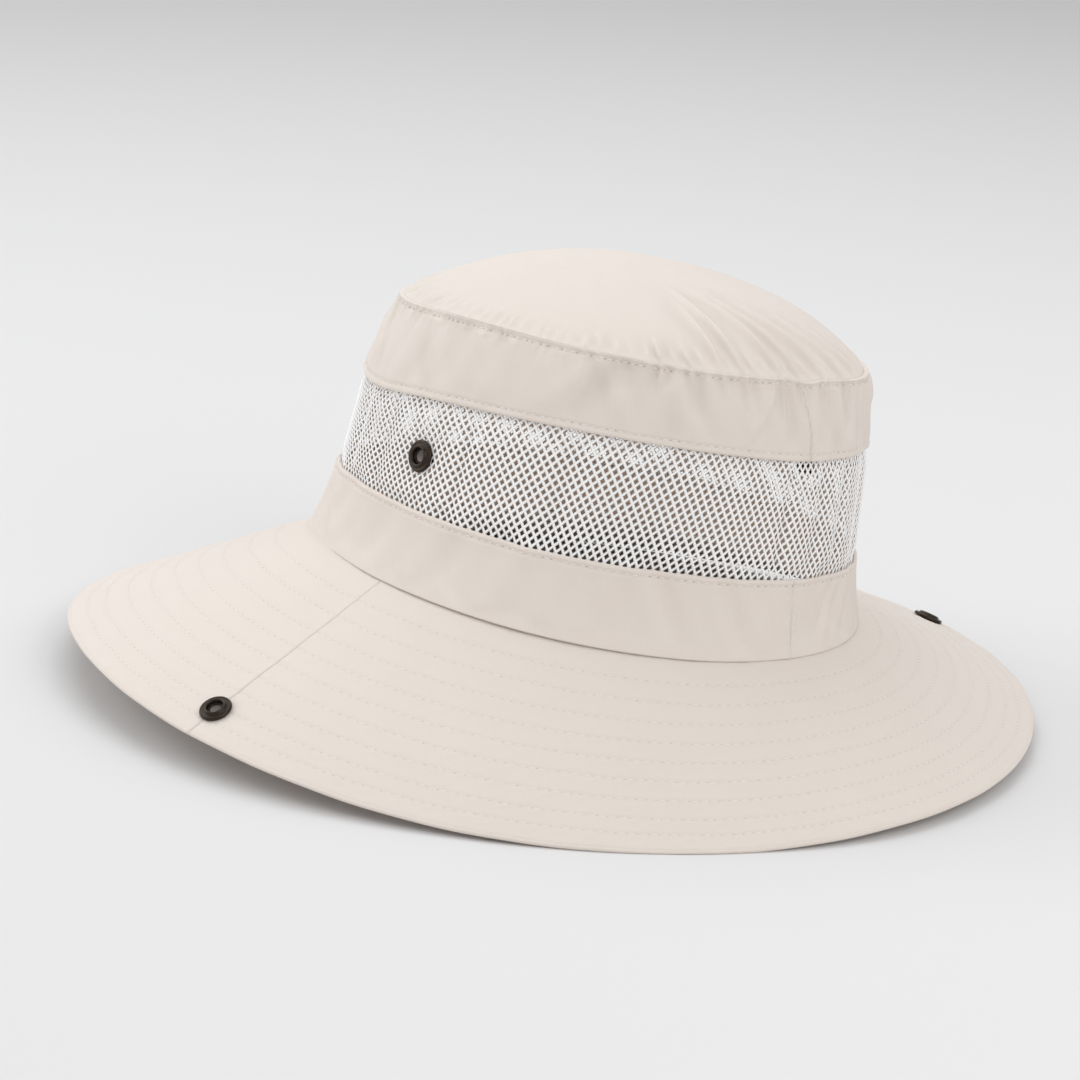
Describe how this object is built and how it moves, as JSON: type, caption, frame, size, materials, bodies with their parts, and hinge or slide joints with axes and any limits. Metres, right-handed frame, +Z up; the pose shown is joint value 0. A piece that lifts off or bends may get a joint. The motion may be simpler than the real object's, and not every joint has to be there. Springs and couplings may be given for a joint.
{
  "type": "wide brim sun hat",
  "caption": "Soft sun hat with a wide sloping brim, a gathered crown top, a see-through mesh band round the crown, and press studs that hold the brim's sides up.",
  "frame": {"origin": "on the surface that the hat lies on, under the middle of its bounding box", "axes": "+Z up, +Y towards the back of the hat, +X towards the wearer's left"},
  "size_m": [0.3235, 0.3423, 0.1491],
  "materials": {
    "cloth": "plain woven nylon, matt",
    "net": "open knitted mesh, satin",
    "bronze": "dark antique bronze"
  },
  "bodies": {
    "root": {"tip_panel": "cloth", "upper_band": "cloth", "mesh_band": "net", "lower_band": "cloth", "back_brim": "cloth", "front_brim": "cloth", "crown_stud_left": "bronze", "crown_stud_right": "bronze", "brim_stud_left": "bronze", "brim_stud_right": "bronze"}
  },
  "joints": []
}
